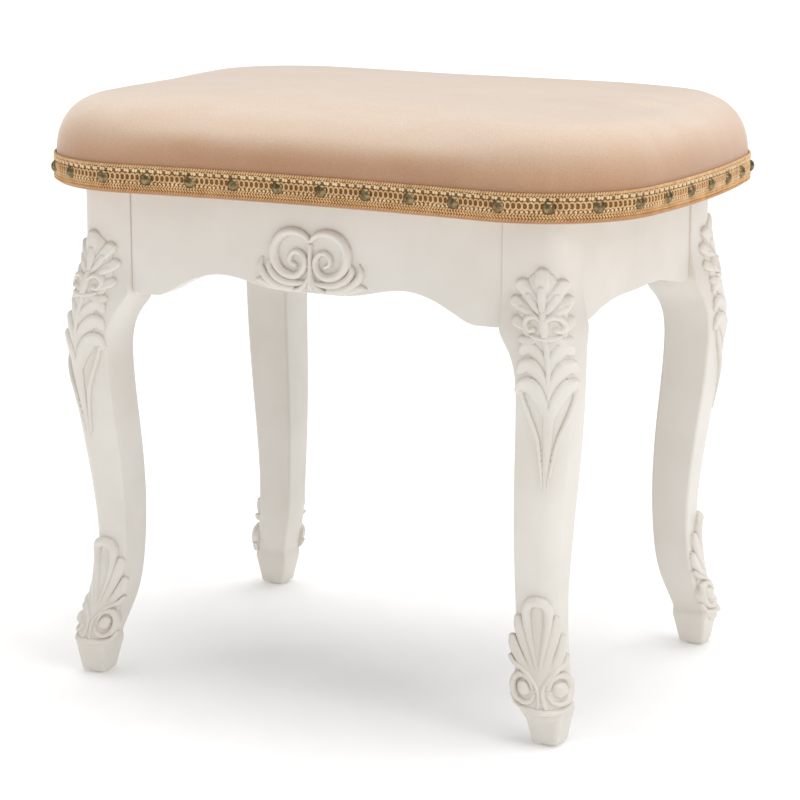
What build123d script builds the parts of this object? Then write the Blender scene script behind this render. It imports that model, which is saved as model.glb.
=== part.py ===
# Upholstered vanity stool with four cabriole legs, shaped rails and a domed velvet seat.
# Millimetres, +Z up. The origin is on the floor under the middle of the seat.
# +X runs along the long side of the seat, and -Y is the front, which carries the carved scroll.
import os
from math import asin, cos, degrees, sin, sqrt

from build123d import *

os.makedirs("parts", exist_ok=True)

# ---- driving dimensions: frame ----
RAIL_TOP = 402.0        # underside of the upholstered seat
BLOCK = 46.0            # square top block of a leg
FRAME_X = 208.0         # outer face of the leg blocks, long way
FRAME_Y = 154.0         # outer face of the leg blocks, short way
CORNER_ROUND = 13.0     # radius on the outer corner of a leg, all the way down
CHAMFER = 12.0          # flat on the inner corner of a leg, where the corner block bears
SOLE = 2.0              # underside of the wood, which stands on the glides

RAIL_SETBACK = 1.5      # the rails stand this far behind the faces of the leg blocks
RAIL_THICK = 20.0
LOBE_Z = 318.0          # lowest point of a rail, beside each leg
LOBE_ROUND = 5.0        # rounded lower corner of a rail

BRACE_THICK = 22.0
BRACE_Z = 356.0         # underside of a corner block
BOLT_Z = 376.0

# ---- driving dimensions: seat ----
SEAT_X = 264.0          # half length at the middle of the bowed ends
END_RADIUS = 700.0      # bowed ends
SEAT_CORNER = 94.0      # large corners
SIDE_RADIUS = 1500.0    # long sides, hollowed a little towards the middle
CORNER_CY = 82.0        # distance of a corner's centre from the middle line

BOARD_THICK = 18.0
COVER_THICK = 1.2
SEAT_TOP = 481.0
FOAM_ROUND = 34.0       # round-over of the foam's upper edge
BRAID_TALL = 21.0
BRAID_THICK = 2.2
NAIL_PITCH = 37.5
NAIL_RADIUS = 4.9
NAIL_TALL = 3.2

INNER_X = FRAME_X - BLOCK                     # inner faces of the leg blocks
INNER_Y = FRAME_Y - BLOCK
RAIL_FACE_X = FRAME_X - RAIL_SETBACK
RAIL_FACE_Y = FRAME_Y - RAIL_SETBACK
RAIL_BACK_X = RAIL_FACE_X - RAIL_THICK
RAIL_BACK_Y = RAIL_FACE_Y - RAIL_THICK
FOAM_Z = RAIL_TOP + BOARD_THICK
BRAID_Z = RAIL_TOP + 1.0

CORNERS = {
    "front_left": (-1, -1),
    "front_right": (1, -1),
    "back_right": (1, 1),
    "back_left": (-1, 1),
}

# A cabriole leg, as (distance from the block's inner face, height), top to bottom.
INNER_CURVE = [(0.0, 318.0), (9.5, 302.0), (15.5, 284.0), (16.5, 262.0), (12.9, 200.0),
               (10.6, 140.0), (11.8, 100.0), (17.0, 62.0), (26.0, 32.0), (31.0, SOLE)]
OUTER_CURVE = [(BLOCK, 352.0), (50.5, 322.0), (56.5, 292.0), (57.0, 262.0), (51.0, 200.0),
               (44.0, 132.0), (43.2, 98.0), (47.5, 60.0), (54.5, 27.0), (51.0, SOLE)]


def save(part, node):
    """Label a finished piece and write it to its own file."""
    part.label = node
    export_step(part, f"parts/{node}.step")


# ---- seat outline: eight tangent arcs ----
END_CX = SEAT_X - END_RADIUS
END_ANGLE = asin(CORNER_CY / (END_RADIUS - SEAT_CORNER))
CORNER_CX = END_CX + (END_RADIUS - SEAT_CORNER) * cos(END_ANGLE)
SIDE_ANGLE = asin(CORNER_CX / (SEAT_CORNER + SIDE_RADIUS))
SIDE_CY = CORNER_CY + (SEAT_CORNER + SIDE_RADIUS) * cos(SIDE_ANGLE)


def seat_outline(inset):
    """Draw the closed seat outline, moved inwards by inset, in the open BuildLine."""
    end = degrees(END_ANGLE)
    side = degrees(SIDE_ANGLE)
    corner = SEAT_CORNER - inset
    sweep = 90 + side - end
    CenterArc((END_CX, 0), END_RADIUS - inset, -end, 2 * end)
    CenterArc((CORNER_CX, CORNER_CY), corner, end, sweep)
    CenterArc((0, SIDE_CY), SIDE_RADIUS + inset, 270 - side, 2 * side)
    CenterArc((-CORNER_CX, CORNER_CY), corner, 90 - side, sweep)
    CenterArc((-END_CX, 0), END_RADIUS - inset, 180 - end, 2 * end)
    CenterArc((-CORNER_CX, -CORNER_CY), corner, 180 + end, sweep)
    CenterArc((0, -SIDE_CY), SIDE_RADIUS + inset, 90 - side, 2 * side)
    CenterArc((CORNER_CX, -CORNER_CY), corner, 270 - side, sweep)


# ---- corner frame: a plane at each leg's inner chamfer, looking out along the diagonal ----
CHAMFER_MID_X = INNER_X + CHAMFER / 2
CHAMFER_MID_Y = INNER_Y + CHAMFER / 2


def diagonal_plane(sx, sy, out, height):
    """A plane facing outwards along a corner's diagonal, out from the chamfer's middle."""
    step = out / sqrt(2)
    origin = (sx * (CHAMFER_MID_X + step), sy * (CHAMFER_MID_Y + step), height)
    return Plane(origin=origin, x_dir=(-sy, sx, 0), z_dir=(sx, sy, 0))


# ---- legs ----
BOLT_RADIUS = 4.0
BOLT_IN_LEG = 32.0
GLIDE_RADIUS = 8.5
GLIDE_CHAMFER = 0.6
PIN_RADIUS = 1.2
PIN_LONG = 12.0
FOOT_MID = (INNER_CURVE[-1][0] + OUTER_CURVE[-1][0]) / 2
DOWEL_RADIUS = 4.0
DOWEL_LONG = 32.0
DOWEL_HEIGHTS = (345.0, 385.0)
FIT = 0.05              # clearance between a pin and its bore
CORNER_REACH = 0.8      # share of a block beyond which an edge counts as the outer corner
LONG_EDGE = 30.0        # shorter edges near the corner are left sharp
NEAR = 0.5
DOWEL_INSET = RAIL_SETBACK + RAIL_THICK / 2
DOWEL_BORE = DOWEL_RADIUS + FIT


def leg_profile(plane, sign, inner, grow):
    """Sketch one bandsawn face of a leg, its outer edge moved out by grow."""
    inside = [(sign * (inner + off), z) for off, z in INNER_CURVE]
    outside = [(sign * (inner + off + grow), z) for off, z in OUTER_CURVE]
    with BuildSketch(plane) as face:
        with BuildLine():
            Line((sign * inner, RAIL_TOP), inside[0])
            Spline(*inside, tangents=[(sign * 0.35, -1), (sign * 0.1, -1)])
            Line(inside[-1], outside[-1])
            Spline(*outside, tangents=[(0, -1), (-sign * 0.6, -1)])
            Line(outside[0], (outside[0][0], RAIL_TOP))
            Line((outside[0][0], RAIL_TOP), (sign * inner, RAIL_TOP))
        make_face()
    return face.sketch


def leg_blank(sx, sy, grow):
    """The leg as it comes off the bandsaw, cut to profile from two faces and rounded outside."""
    with BuildPart() as blank:
        extrude(leg_profile(Plane.XZ, sx, INNER_X, grow), amount=2 * FRAME_Y, dir=(0, sy, 0))
        extrude(leg_profile(Plane.YZ, sy, INNER_Y, grow), amount=2 * FRAME_X, dir=(sx, 0, 0),
                mode=Mode.INTERSECT)
        on_diagonal = blank.edges().filter_by(
            lambda e: abs(sx * e.center().X - INNER_X - sy * e.center().Y + INNER_Y) < NEAR)
        outer = on_diagonal.filter_by(lambda e: sx * e.center().X > INNER_X + BLOCK * CORNER_REACH)
        fillet(outer.filter_by(lambda e: e.length > LONG_EDGE), CORNER_ROUND + grow)
    return blank.part


def make_leg(sx, sy):
    """A finished leg with its inner flat and the bores for bolt, dowels and glide pin."""
    with BuildPart() as leg:
        add(leg_blank(sx, sy, 0))
        inner = leg.edges().filter_by(Axis.Z).filter_by(
            lambda e: abs(sx * e.center().X - INNER_X) + abs(sy * e.center().Y - INNER_Y) < NEAR)
        chamfer(inner, CHAMFER)
        with Locations(diagonal_plane(sx, sy, BOLT_IN_LEG / 2, BOLT_Z)):
            Cylinder(BOLT_RADIUS + FIT, BOLT_IN_LEG + 2 * FIT, mode=Mode.SUBTRACT)
        for height in DOWEL_HEIGHTS:
            with Locations((sx * INNER_X, sy * (FRAME_Y - DOWEL_INSET), height)):
                Cylinder(DOWEL_BORE, DOWEL_LONG + 2 * FIT, rotation=(0, 90, 0), mode=Mode.SUBTRACT)
            with Locations((sx * (FRAME_X - DOWEL_INSET), sy * INNER_Y, height)):
                Cylinder(DOWEL_BORE, DOWEL_LONG + 2 * FIT, rotation=(90, 0, 0), mode=Mode.SUBTRACT)
        with Locations((sx * (INNER_X + FOOT_MID), sy * (INNER_Y + FOOT_MID), SOLE + PIN_LONG / 2)):
            Cylinder(PIN_RADIUS + FIT, PIN_LONG + 2 * FIT, mode=Mode.SUBTRACT)
    return leg.part


# ---- carvings, moulded to the rounded outer corner of each leg ----
CARVING_THICK = 4.0
FRONT_SHIFT = 8.5       # the front legs' carvings sit this far towards the front face
# Leaf outlines, as (distance from the diagonal, height), top to bottom.
KNEE_LEAF = [(0, 368), (9, 362), (19, 348), (24, 330), (23, 305), (17, 284),
             (6, 268), (4, 230), (0, 200)]
FOOT_LEAF = [(0, 112), (9, 104), (11, 90), (8, 66), (13, 50), (18, 36), (12, 26), (0, 24)]


def make_carving(sx, sy, leaf):
    """A shell of even thickness on the leg's corner, cut to a leaf outline seen down the diagonal."""
    shift = -sx * FRONT_SHIFT if sy < 0 else 0
    right = [(shift + t, z) for t, z in leaf]
    left = [(shift - t, z) for t, z in reversed(leaf[1:-1])]
    with BuildPart() as carving:
        add(leg_blank(sx, sy, CARVING_THICK))
        with BuildSketch(diagonal_plane(sx, sy, 0, 0)):
            with BuildLine():
                Polyline(*right, *left, close=True)
            make_face()
        extrude(amount=2 * BLOCK, mode=Mode.INTERSECT)
        add(leg_blank(sx, sy, 0), mode=Mode.SUBTRACT)
    return carving.part


for name, (sx, sy) in CORNERS.items():
    save(make_leg(sx, sy), f"leg_{name}")
    save(make_carving(sx, sy, KNEE_LEAF), f"knee_carving_{name}")
    save(make_carving(sx, sy, FOOT_LEAF), f"foot_carving_{name}")

# ---- rails with a scalloped lower edge ----
FRONT_EDGE = [(0, 331), (38, 332), (78, 339), (104, 334), (124, 324), (140, LOBE_Z)]
END_EDGE = [(0, 327), (40, 327), (66, 324), (84, 320), (96, LOBE_Z)]
RAIL_SCREW_Z = 366.0
RAIL_SCREW_OFFSET = 30.0        # distance of a rail screw from the leg block
SCREW_RADIUS = 2.0
SCREW_IN_RAIL = 12.0


def make_rail(plane, half_long, edge):
    """One rail: half of its lower edge is drawn and mirrored, then it is bored for the dowels."""
    with BuildPart() as rail:
        with BuildSketch(plane):
            with BuildLine():
                Spline(*edge, tangents=[(1, 0), (1, 0)])
                Line(edge[-1], (half_long - LOBE_ROUND, LOBE_Z))
                JernArc((half_long - LOBE_ROUND, LOBE_Z), (1, 0), LOBE_ROUND, 90)
                Line((half_long, LOBE_Z + LOBE_ROUND), (half_long, RAIL_TOP))
                Line((half_long, RAIL_TOP), (0, RAIL_TOP))
                mirror(about=Plane.YZ)
            make_face()
        extrude(amount=-RAIL_THICK)
        middle = plane.offset(-RAIL_THICK / 2)
        behind = plane.offset(SCREW_IN_RAIL / 2 - RAIL_THICK)
        for end in (-1, 1):
            for height in DOWEL_HEIGHTS:
                with Locations(middle.location * Location((end * half_long, height, 0))):
                    Cylinder(DOWEL_BORE, DOWEL_LONG + 2 * FIT, rotation=(0, 90, 0), mode=Mode.SUBTRACT)
            screw_x = end * (half_long - RAIL_SCREW_OFFSET)
            with Locations(behind.location * Location((screw_x, RAIL_SCREW_Z, 0))):
                Cylinder(SCREW_RADIUS + FIT, SCREW_IN_RAIL + FIT, mode=Mode.SUBTRACT)
    return rail.part


front_plane = Plane(origin=(0, -RAIL_FACE_Y, 0), x_dir=(1, 0, 0), z_dir=(0, -1, 0))
back_plane = Plane(origin=(0, RAIL_FACE_Y, 0), x_dir=(-1, 0, 0), z_dir=(0, 1, 0))
right_plane = Plane(origin=(RAIL_FACE_X, 0, 0), x_dir=(0, 1, 0), z_dir=(1, 0, 0))
left_plane = Plane(origin=(-RAIL_FACE_X, 0, 0), x_dir=(0, -1, 0), z_dir=(-1, 0, 0))
save(make_rail(front_plane, INNER_X, FRONT_EDGE), "apron_front")
save(make_rail(back_plane, INNER_X, FRONT_EDGE), "apron_back")
save(make_rail(right_plane, INNER_Y, END_EDGE), "apron_right")
save(make_rail(left_plane, INNER_Y, END_EDGE), "apron_left")

# ---- carved scroll glued to the middle of the front rail ----
SCROLL_THICK = 5.0
SCROLL_HALF = [(0, 375), (5, 380), (14, 381), (20, 374), (20, 364), (30, 361), (41, 354),
               (33, 350), (39, 343), (28, 341), (32, 333), (14, 333), (0, 332)]

with BuildPart() as scroll:
    with BuildSketch(front_plane):
        with BuildLine():
            Polyline(*SCROLL_HALF)
            mirror(about=Plane.YZ)
        make_face()
    extrude(amount=SCROLL_THICK)
save(scroll.part, "apron_scroll_front")

# ---- corner blocks with their bolts and screws ----
BRACE_SHORT = RAIL_BACK_X - CHAMFER_MID_X       # along X from the chamfer's middle to the rail
BRACE_HALF_OUT = BRACE_SHORT * sqrt(2)
BRACE_HALF_IN = BRACE_HALF_OUT + BRACE_THICK
BOLT_PAST_BRACE = 14.0
BOLT_PLAY = 0.5         # room round a bolt in its corner block
WASHER_PLAY = 0.2
HEAD_PLAY = 0.3         # room round a screw head in its counterbore
WASHER_RADIUS = 11.0
WASHER_THICK = 1.6
NUT_ACROSS_FLATS = 13.0
NUT_TALL = 6.5
SCREW_HEAD_RADIUS = 4.0
SCREW_HEAD_TALL = 3.0
SCREW_IN_BRACE = 9.0
SEAT_SCREW_SIDE = 20.0          # along the corner block, away from the bolt
SEAT_SCREW_IN_BOARD = 12.0
SEAT_SCREW_RADIUS = 2.25


def rail_screw_planes(sx, sy):
    """Planes at the rails' inner faces, at this corner's two rail screws, facing the middle."""
    long_x = sx * (INNER_X - RAIL_SCREW_OFFSET)
    short_y = sy * (INNER_Y - RAIL_SCREW_OFFSET)
    at_front = (long_x, sy * RAIL_BACK_Y, RAIL_SCREW_Z)
    at_end = (sx * RAIL_BACK_X, short_y, RAIL_SCREW_Z)
    in_front = Plane(origin=at_front, x_dir=(1, 0, 0), z_dir=(0, -sy, 0))
    in_end = Plane(origin=at_end, x_dir=(0, 1, 0), z_dir=(-sx, 0, 0))
    return (in_front, in_end)


def seat_screw_plane(sx, sy):
    """A level plane at the top of a corner block, at its seat screw."""
    mid_out = -BRACE_THICK / 2 / sqrt(2)
    along = SEAT_SCREW_SIDE / sqrt(2)
    x = sx * (CHAMFER_MID_X + mid_out + along)
    y = sy * (CHAMFER_MID_Y + mid_out - along)
    return Plane(origin=(x, y, RAIL_TOP))


LEVEL_ALIGN = (Align.CENTER, Align.CENTER, Align.MIN)
DOWN_ALIGN = (Align.CENTER, Align.CENTER, Align.MAX)
HEAD_ROOM = 30.0


def make_brace(sx, sy):
    """A corner block, bored for the leg bolt, two rail screws and one seat screw."""
    corner = diagonal_plane(sx, sy, 0, BRACE_Z)
    with BuildPart() as brace:
        with BuildSketch(Plane(origin=corner.origin, x_dir=corner.x_dir, z_dir=(0, 0, 1))):
            with BuildLine():
                Polyline((-BRACE_HALF_OUT, 0), (BRACE_HALF_OUT, 0), (BRACE_HALF_IN, BRACE_THICK),
                         (-BRACE_HALF_IN, BRACE_THICK), close=True)
            make_face()
        extrude(amount=RAIL_TOP - BRACE_Z)
        with Locations(diagonal_plane(sx, sy, -BRACE_THICK / 2, BOLT_Z)):
            Cylinder(BOLT_RADIUS + BOLT_PLAY, BRACE_THICK + 1, mode=Mode.SUBTRACT)
        for place in rail_screw_planes(sx, sy):
            with Locations(place):
                Cylinder(SCREW_RADIUS + FIT, SCREW_IN_BRACE, align=LEVEL_ALIGN, mode=Mode.SUBTRACT)
            with Locations(place.offset(SCREW_IN_BRACE)):
                Cylinder(SCREW_HEAD_RADIUS + HEAD_PLAY, HEAD_ROOM, align=LEVEL_ALIGN, mode=Mode.SUBTRACT)
        with Locations(seat_screw_plane(sx, sy)):
            Cylinder(SEAT_SCREW_RADIUS + FIT, RAIL_TOP - BRACE_Z, align=DOWN_ALIGN, mode=Mode.SUBTRACT)
    return brace.part


for name, (sx, sy) in CORNERS.items():
    save(make_brace(sx, sy), f"corner_block_{name}")

with BuildPart() as bolts:
    for sx, sy in CORNERS.values():
        long = BOLT_IN_LEG + BRACE_THICK + BOLT_PAST_BRACE
        with Locations(diagonal_plane(sx, sy, BOLT_IN_LEG, BOLT_Z)):
            Cylinder(BOLT_RADIUS, long, align=DOWN_ALIGN)
save(bolts.part, "leg_hanger_bolts")

with BuildPart() as washers:
    for sx, sy in CORNERS.values():
        with Locations(diagonal_plane(sx, sy, -BRACE_THICK, BOLT_Z)):
            Cylinder(WASHER_RADIUS, WASHER_THICK, align=DOWN_ALIGN)
            Cylinder(BOLT_RADIUS + WASHER_PLAY, WASHER_THICK, align=DOWN_ALIGN, mode=Mode.SUBTRACT)
save(washers.part, "leg_bolt_washers")

with BuildPart() as nuts:
    for sx, sy in CORNERS.values():
        with BuildSketch(diagonal_plane(sx, sy, -BRACE_THICK - WASHER_THICK, BOLT_Z)):
            RegularPolygon(NUT_ACROSS_FLATS / 2, 6, major_radius=False)
            Circle(BOLT_RADIUS + FIT, mode=Mode.SUBTRACT)
        extrude(amount=-NUT_TALL)
save(nuts.part, "leg_bolt_nuts")

with BuildPart() as rail_screws:
    for sx, sy in CORNERS.values():
        for place in rail_screw_planes(sx, sy):
            with Locations(place.offset(-SCREW_IN_RAIL)):
                Cylinder(SCREW_RADIUS, SCREW_IN_RAIL + SCREW_IN_BRACE, align=LEVEL_ALIGN)
            with Locations(place.offset(SCREW_IN_BRACE)):
                Cylinder(SCREW_HEAD_RADIUS, SCREW_HEAD_TALL, align=LEVEL_ALIGN)
save(rail_screws.part, "corner_block_screws")

with BuildPart() as seat_screws:
    for sx, sy in CORNERS.values():
        top = seat_screw_plane(sx, sy).offset(SEAT_SCREW_IN_BOARD)
        long = SEAT_SCREW_IN_BOARD + RAIL_TOP - BRACE_Z
        with Locations(top):
            Cylinder(SEAT_SCREW_RADIUS, long, align=DOWN_ALIGN)
        with Locations(top.offset(-long)):
            Cylinder(SCREW_HEAD_RADIUS, SCREW_HEAD_TALL, align=DOWN_ALIGN)
save(seat_screws.part, "seat_screws")

with BuildPart() as dowels:
    for sx, sy in CORNERS.values():
        for height in DOWEL_HEIGHTS:
            with Locations((sx * INNER_X, sy * (FRAME_Y - DOWEL_INSET), height)):
                Cylinder(DOWEL_RADIUS, DOWEL_LONG, rotation=(0, 90, 0))
            with Locations((sx * (FRAME_X - DOWEL_INSET), sy * INNER_Y, height)):
                Cylinder(DOWEL_RADIUS, DOWEL_LONG, rotation=(90, 0, 0))
save(dowels.part, "apron_dowels")

for name, (sx, sy) in CORNERS.items():
    with BuildPart() as glide:
        with Locations((sx * (INNER_X + FOOT_MID), sy * (INNER_Y + FOOT_MID), 0)):
            Cylinder(GLIDE_RADIUS, SOLE, align=LEVEL_ALIGN)
            Cylinder(PIN_RADIUS, SOLE + PIN_LONG, align=LEVEL_ALIGN)
        chamfer(glide.faces().sort_by(Axis.Z)[0].edges(), GLIDE_CHAMFER)
    save(glide.part, f"foot_glide_{name}")

# ---- trim: where the nails go, evenly spaced round the seat ----
with BuildPart() as trim_line:
    with BuildSketch(Plane.XY.offset(BRAID_Z + BRAID_TALL / 2)):
        with BuildLine():
            seat_outline(-BRAID_THICK)
        make_face()
trim_wire = trim_line.pending_faces[0].outer_wire()
NAIL_COUNT = 2 * round(trim_wire.length / NAIL_PITCH / 2)


def nail_planes():
    """One plane for each nail, on the outside of the braid and facing outwards."""
    places = []
    for index in range(NAIL_COUNT):
        distance = trim_wire.length * (index + 0.5) / NAIL_COUNT
        along = trim_wire.tangent_at(distance, PositionMode.LENGTH)
        point = trim_wire.position_at(distance, PositionMode.LENGTH)
        out = along.cross(Vector(0, 0, 1))
        if out.dot(Vector(point.X, point.Y, 0)) < 0:
            out = -out
        places.append(Plane(origin=point, x_dir=(0, 0, 1), z_dir=out))
    return places


NAIL_PLANES = nail_planes()
NAIL_SHANK = 0.9
NAIL_LONG = 13.0
NAIL_BORE = NAIL_SHANK + FIT


def bore_for_nails():
    """Cut the nails' bores in the part being built."""
    with Locations(*NAIL_PLANES):
        Cylinder(NAIL_BORE, NAIL_LONG + FIT, align=DOWN_ALIGN, mode=Mode.SUBTRACT)


with BuildPart() as one_nail:
    with BuildSketch(Plane.XZ):
        with BuildLine():
            Line((0, NAIL_TALL), (0, -NAIL_LONG))
            Line((0, -NAIL_LONG), (NAIL_SHANK, -NAIL_LONG + NAIL_SHANK))
            Line((NAIL_SHANK, -NAIL_LONG + NAIL_SHANK), (NAIL_SHANK, FIT))
            Line((NAIL_SHANK, FIT), (NAIL_RADIUS, FIT))
            TangentArc((0, NAIL_TALL), (NAIL_RADIUS, FIT), tangent=(1, 0))
        make_face()
    revolve(axis=Axis.Z)

with BuildPart() as nails:
    with Locations(*NAIL_PLANES):
        add(one_nail.part)
save(nails.part, "braid_nails")

with BuildPart() as braid:
    with BuildSketch(Plane.XY.offset(BRAID_Z)):
        with BuildLine():
            seat_outline(-BRAID_THICK)
        make_face()
        with BuildLine():
            seat_outline(0)
        make_face(mode=Mode.SUBTRACT)
    extrude(amount=BRAID_TALL)
    bore_for_nails()
save(braid.part, "gimp_braid")

# ---- seat board, foam, velvet cover and dust cover ----
HEM = 12.0              # how far the cover is turned in under the board
COVER_Z = RAIL_TOP - COVER_THICK
DUST_GAP = 2.5          # between the dust cover's edge and the rails and corner blocks
DUST_THICK = 0.6
STAPLE_PITCH = 50.0
STAPLE_WIDE = 10.0
STAPLE_WIRE = 0.8
STAPLE_INSET = 7.0

with BuildPart() as board:
    with BuildSketch(Plane.XY.offset(RAIL_TOP)):
        with BuildLine():
            seat_outline(COVER_THICK)
        make_face()
    extrude(amount=BOARD_THICK)
    bore_for_nails()
    for sx, sy in CORNERS.values():
        with Locations(seat_screw_plane(sx, sy)):
            Cylinder(SEAT_SCREW_RADIUS + FIT, SEAT_SCREW_IN_BOARD + FIT, align=LEVEL_ALIGN,
                     mode=Mode.SUBTRACT)
save(board.part, "seat_board")

with BuildPart() as foam:
    with BuildSketch(Plane.XY.offset(FOAM_Z)):
        with BuildLine():
            seat_outline(COVER_THICK)
        make_face()
    extrude(amount=SEAT_TOP - COVER_THICK - FOAM_Z)
    fillet(foam.faces().sort_by(Axis.Z)[-1].edges(), FOAM_ROUND)
save(foam.part, "seat_foam")

with BuildPart() as cover:
    with BuildSketch(Plane.XY.offset(COVER_Z)):
        with BuildLine():
            seat_outline(0)
        make_face()
    extrude(amount=SEAT_TOP - COVER_Z)
    fillet(cover.faces().sort_by(Axis.Z)[-1].edges(), FOAM_ROUND + COVER_THICK)
    with BuildSketch(Plane.XY.offset(COVER_Z)):
        with BuildLine():
            seat_outline(HEM)
        make_face()
    extrude(amount=COVER_THICK, mode=Mode.SUBTRACT)
    with BuildSketch(Plane.XY.offset(RAIL_TOP)):
        with BuildLine():
            seat_outline(COVER_THICK)
        make_face()
    extrude(amount=BOARD_THICK, mode=Mode.SUBTRACT)
    add(foam.part, mode=Mode.SUBTRACT)
    bore_for_nails()
save(cover.part, "seat_cover")

# The dust cover closes the space inside the rails and corner blocks, stapled up to the board.
DUST_X = RAIL_BACK_X - DUST_GAP
DUST_Y = RAIL_BACK_Y - DUST_GAP
DUST_CUT = CHAMFER_MID_X + CHAMFER_MID_Y - (BRACE_THICK + DUST_GAP) * sqrt(2)
DUST_Z = RAIL_TOP - DUST_THICK

with BuildPart() as dust:
    with BuildSketch(Plane.XY.offset(DUST_Z)):
        with BuildLine():
            Polyline((DUST_X, 0), (DUST_X, DUST_CUT - DUST_X),
                     (DUST_CUT - DUST_Y, DUST_Y), (0, DUST_Y))
            mirror(about=Plane.YZ)
            mirror(about=Plane.XZ)
        make_face()
    extrude(amount=DUST_THICK)
save(dust.part, "dust_cover")

with BuildPart() as staples:
    with BuildSketch(Plane.XY.offset(DUST_Z)):
        for side in (-1, 1):
            with GridLocations(STAPLE_PITCH, 1, 5, 1):
                with Locations((0, side * (DUST_Y - STAPLE_INSET))):
                    Rectangle(STAPLE_WIDE, STAPLE_WIRE)
            with GridLocations(1, STAPLE_PITCH, 1, 3):
                with Locations((side * (DUST_X - STAPLE_INSET), 0)):
                    Rectangle(STAPLE_WIRE, STAPLE_WIDE)
    extrude(amount=-STAPLE_WIRE)
save(staples.part, "dust_cover_staples")
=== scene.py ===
# %% [markdown]
# A vanity stool: four carved cabriole legs and shaped rails in white lacquer, a domed velvet
# seat, and a gimp braid held by domed nails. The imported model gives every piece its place. This
# script dresses it: it keeps the hidden hardware as it is, and remakes what the eye rests on.

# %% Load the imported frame
import bmesh
from math import asin, cos, degrees, pi, radians, sin, sqrt

import bpy
import numpy as np
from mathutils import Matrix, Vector


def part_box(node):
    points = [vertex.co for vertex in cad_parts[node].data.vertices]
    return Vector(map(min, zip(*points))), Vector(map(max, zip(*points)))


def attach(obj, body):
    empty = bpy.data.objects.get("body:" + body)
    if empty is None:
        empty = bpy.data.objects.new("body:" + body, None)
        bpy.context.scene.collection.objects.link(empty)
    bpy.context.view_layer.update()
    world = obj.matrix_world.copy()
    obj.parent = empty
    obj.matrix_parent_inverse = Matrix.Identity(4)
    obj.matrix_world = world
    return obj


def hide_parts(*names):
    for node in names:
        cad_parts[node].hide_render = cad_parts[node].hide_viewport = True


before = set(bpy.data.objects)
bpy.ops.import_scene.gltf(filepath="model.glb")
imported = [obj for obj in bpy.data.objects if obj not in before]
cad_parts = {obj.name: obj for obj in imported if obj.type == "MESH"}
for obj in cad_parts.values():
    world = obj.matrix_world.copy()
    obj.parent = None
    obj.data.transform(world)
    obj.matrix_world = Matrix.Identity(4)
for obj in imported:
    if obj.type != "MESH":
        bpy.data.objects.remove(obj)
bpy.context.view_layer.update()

# %% [markdown]
# Real sizes come first, in millimetres as a maker would write them. They are the same numbers as
# the joiner's drawing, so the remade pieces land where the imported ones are. What is meant to
# differ is small: the plain foot is up to 1.8 mm wider, the seat is about 2 mm lower at its
# crest, and the carvings have a relief of their own.

# %% Driving dimensions
MM = 0.001
RAIL_TOP = 402.0
BLOCK = 46.0
FRAME_X, FRAME_Y = 208.0, 154.0
INNER_X, INNER_Y = FRAME_X - BLOCK, FRAME_Y - BLOCK
CORNER_ROUND = 13.0
CHAMFER = 12.0
SOLE = 2.0
RAIL_SETBACK = 1.5
RAIL_THICK = 20.0
LOBE_Z = 318.0
RAIL_FACE_X, RAIL_FACE_Y = FRAME_X - RAIL_SETBACK, FRAME_Y - RAIL_SETBACK
CORNERS = {"front_left": (-1, -1), "front_right": (1, -1),
           "back_right": (1, 1), "back_left": (-1, 1)}
INNER_CURVE = [(0.0, 318.0), (9.5, 302.0), (15.5, 284.0), (16.5, 262.0), (12.9, 200.0),
               (10.6, 140.0), (11.8, 100.0), (17.0, 62.0), (26.0, 32.0), (31.0, SOLE)]
OUTER_CURVE = [(46.0, 352.0), (50.5, 322.0), (56.5, 292.0), (57.0, 262.0), (51.0, 200.0),
               (44.0, 132.0), (43.2, 98.0), (47.5, 60.0), (54.5, 27.0), (51.0, SOLE)]
print("frame:", 2 * FRAME_X, "by", 2 * FRAME_Y, "mm over the blocks, rails up to", RAIL_TOP, "mm")


# %% [markdown]
# Four small tools serve everything below. A fair curve runs smoothly through a few points, as a
# bent batten does. A mesh maker turns points and faces into a piece. A sheet of rows and columns
# becomes quads, which keeps a surface clean enough to shade smoothly. The last turns every face
# of a closed piece outwards.

# %% Small tools
def fair_curve(points, start_slope, end_slope):
    """Return a function through (x, y) points: a cubic spline with its end slopes given."""
    order = sorted(points)
    x = np.array([p[0] for p in order], float)
    y = np.array([p[1] for p in order], float)
    step = np.diff(x)
    size = len(x)
    matrix = np.zeros((size, size))
    right = np.zeros(size)
    matrix[0, 0] = matrix[-1, -1] = 1.0
    right[0], right[-1] = start_slope, end_slope
    for i in range(1, size - 1):
        matrix[i, i - 1] = step[i]
        matrix[i, i] = 2 * (step[i - 1] + step[i])
        matrix[i, i + 1] = step[i - 1]
        rise = np.diff(y) / step
        right[i] = 3 * (step[i] * rise[i - 1] + step[i - 1] * rise[i])
    slope = np.linalg.solve(matrix, right)

    def at(value):
        value = np.clip(value, x[0], x[-1])
        i = np.clip(np.searchsorted(x, value) - 1, 0, size - 2)
        u = (value - x[i]) / step[i]
        return ((1 + 2 * u) * (1 - u) ** 2 * y[i] + u * (1 - u) ** 2 * step[i] * slope[i]
                + u * u * (3 - 2 * u) * y[i + 1] + u * u * (u - 1) * step[i] * slope[i + 1])
    return at


def make_piece(name, points_mm, faces, material, smooth_angle=40.0):
    """Make a mesh piece from points in millimetres, ride it on the stool and give its finish."""
    mesh = bpy.data.meshes.new(name)
    mesh.from_pydata((np.asarray(points_mm, float) * MM).tolist(), [], faces)
    mesh.validate()
    piece = bpy.data.objects.new(name, mesh)
    bpy.context.scene.collection.objects.link(piece)
    mesh.materials.append(material)
    mesh.polygons.foreach_set("use_smooth", [True] * len(mesh.polygons))
    mesh.set_sharp_from_angle(angle=radians(smooth_angle))
    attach(piece, "root")
    return piece


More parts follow.
